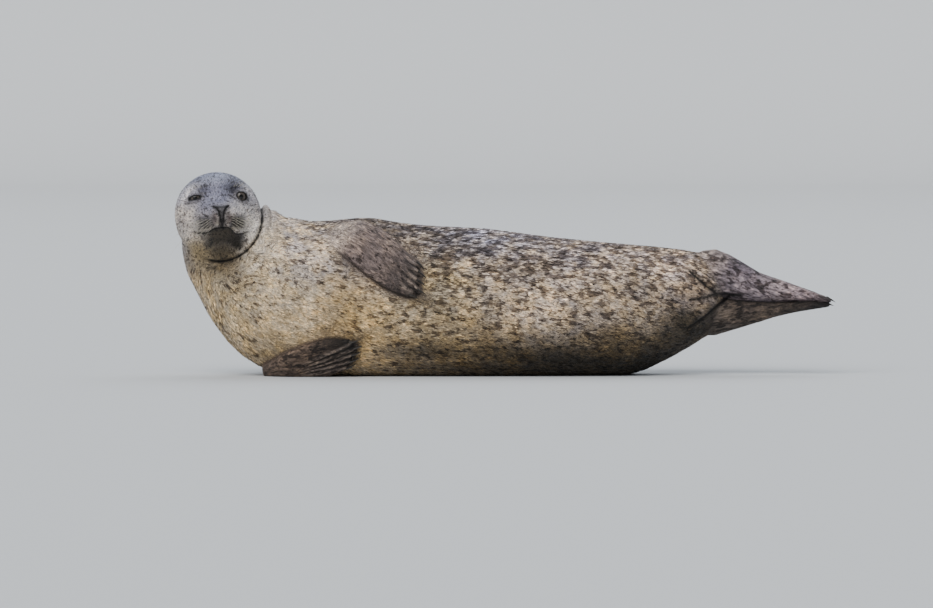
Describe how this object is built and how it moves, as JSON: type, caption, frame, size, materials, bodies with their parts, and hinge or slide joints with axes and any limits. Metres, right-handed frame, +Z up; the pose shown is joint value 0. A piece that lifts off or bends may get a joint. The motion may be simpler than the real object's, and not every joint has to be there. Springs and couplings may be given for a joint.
{
  "type": "harbor seal",
  "caption": "Life-size adult harbor seal as a still model, resting on its right side with its head raised and turned to look over its belly, hind flippers lifted.",
  "frame": {"origin": "at floor level, under the middle of the animal's bounding box", "axes": "+Z up; the body runs along X from the head at -X to the hind flippers at +X; the belly faces -Y and the back +Y"},
  "size_m": [1.6488, 0.392, 0.5089],
  "materials": {
    "coat": "matt short fur, tan and grey with dark spots",
    "flipper": "matt, short dark brown-grey fur over skin",
    "eye": "wet gloss",
    "nose": "damp satin",
    "claw": "satin horn"
  },
  "bodies": {
    "root": {"belly": "coat", "chest": "coat", "claw_fore_left_1": "claw", "claw_fore_left_2": "claw", "claw_fore_left_3": "claw", "claw_fore_left_4": "claw", "claw_fore_left_5": "claw", "claw_fore_right_1": "claw", "claw_fore_right_2": "claw", "claw_fore_right_3": "claw", "claw_fore_right_4": "claw", "claw_fore_right_5": "claw", "claw_hind_left_1": "claw", "claw_hind_left_2": "claw", "claw_hind_left_3": "claw", "claw_hind_left_4": "claw", "claw_hind_left_5": "claw", "claw_hind_right_1": "claw", "claw_hind_right_2": "claw", "claw_hind_right_3": "claw", "claw_hind_right_4": "claw", "claw_hind_right_5": "claw", "eye_left": "eye", "eye_right": "eye", "fore_flipper_left": "flipper", "fore_flipper_right": "flipper", "head": "coat", "hind_flipper_left": "flipper", "hind_flipper_right": "flipper", "hips": "coat", "lower_jaw": "coat", "neck": "coat", "nose": "nose", "tail": "coat"}
  },
  "joints": []
}
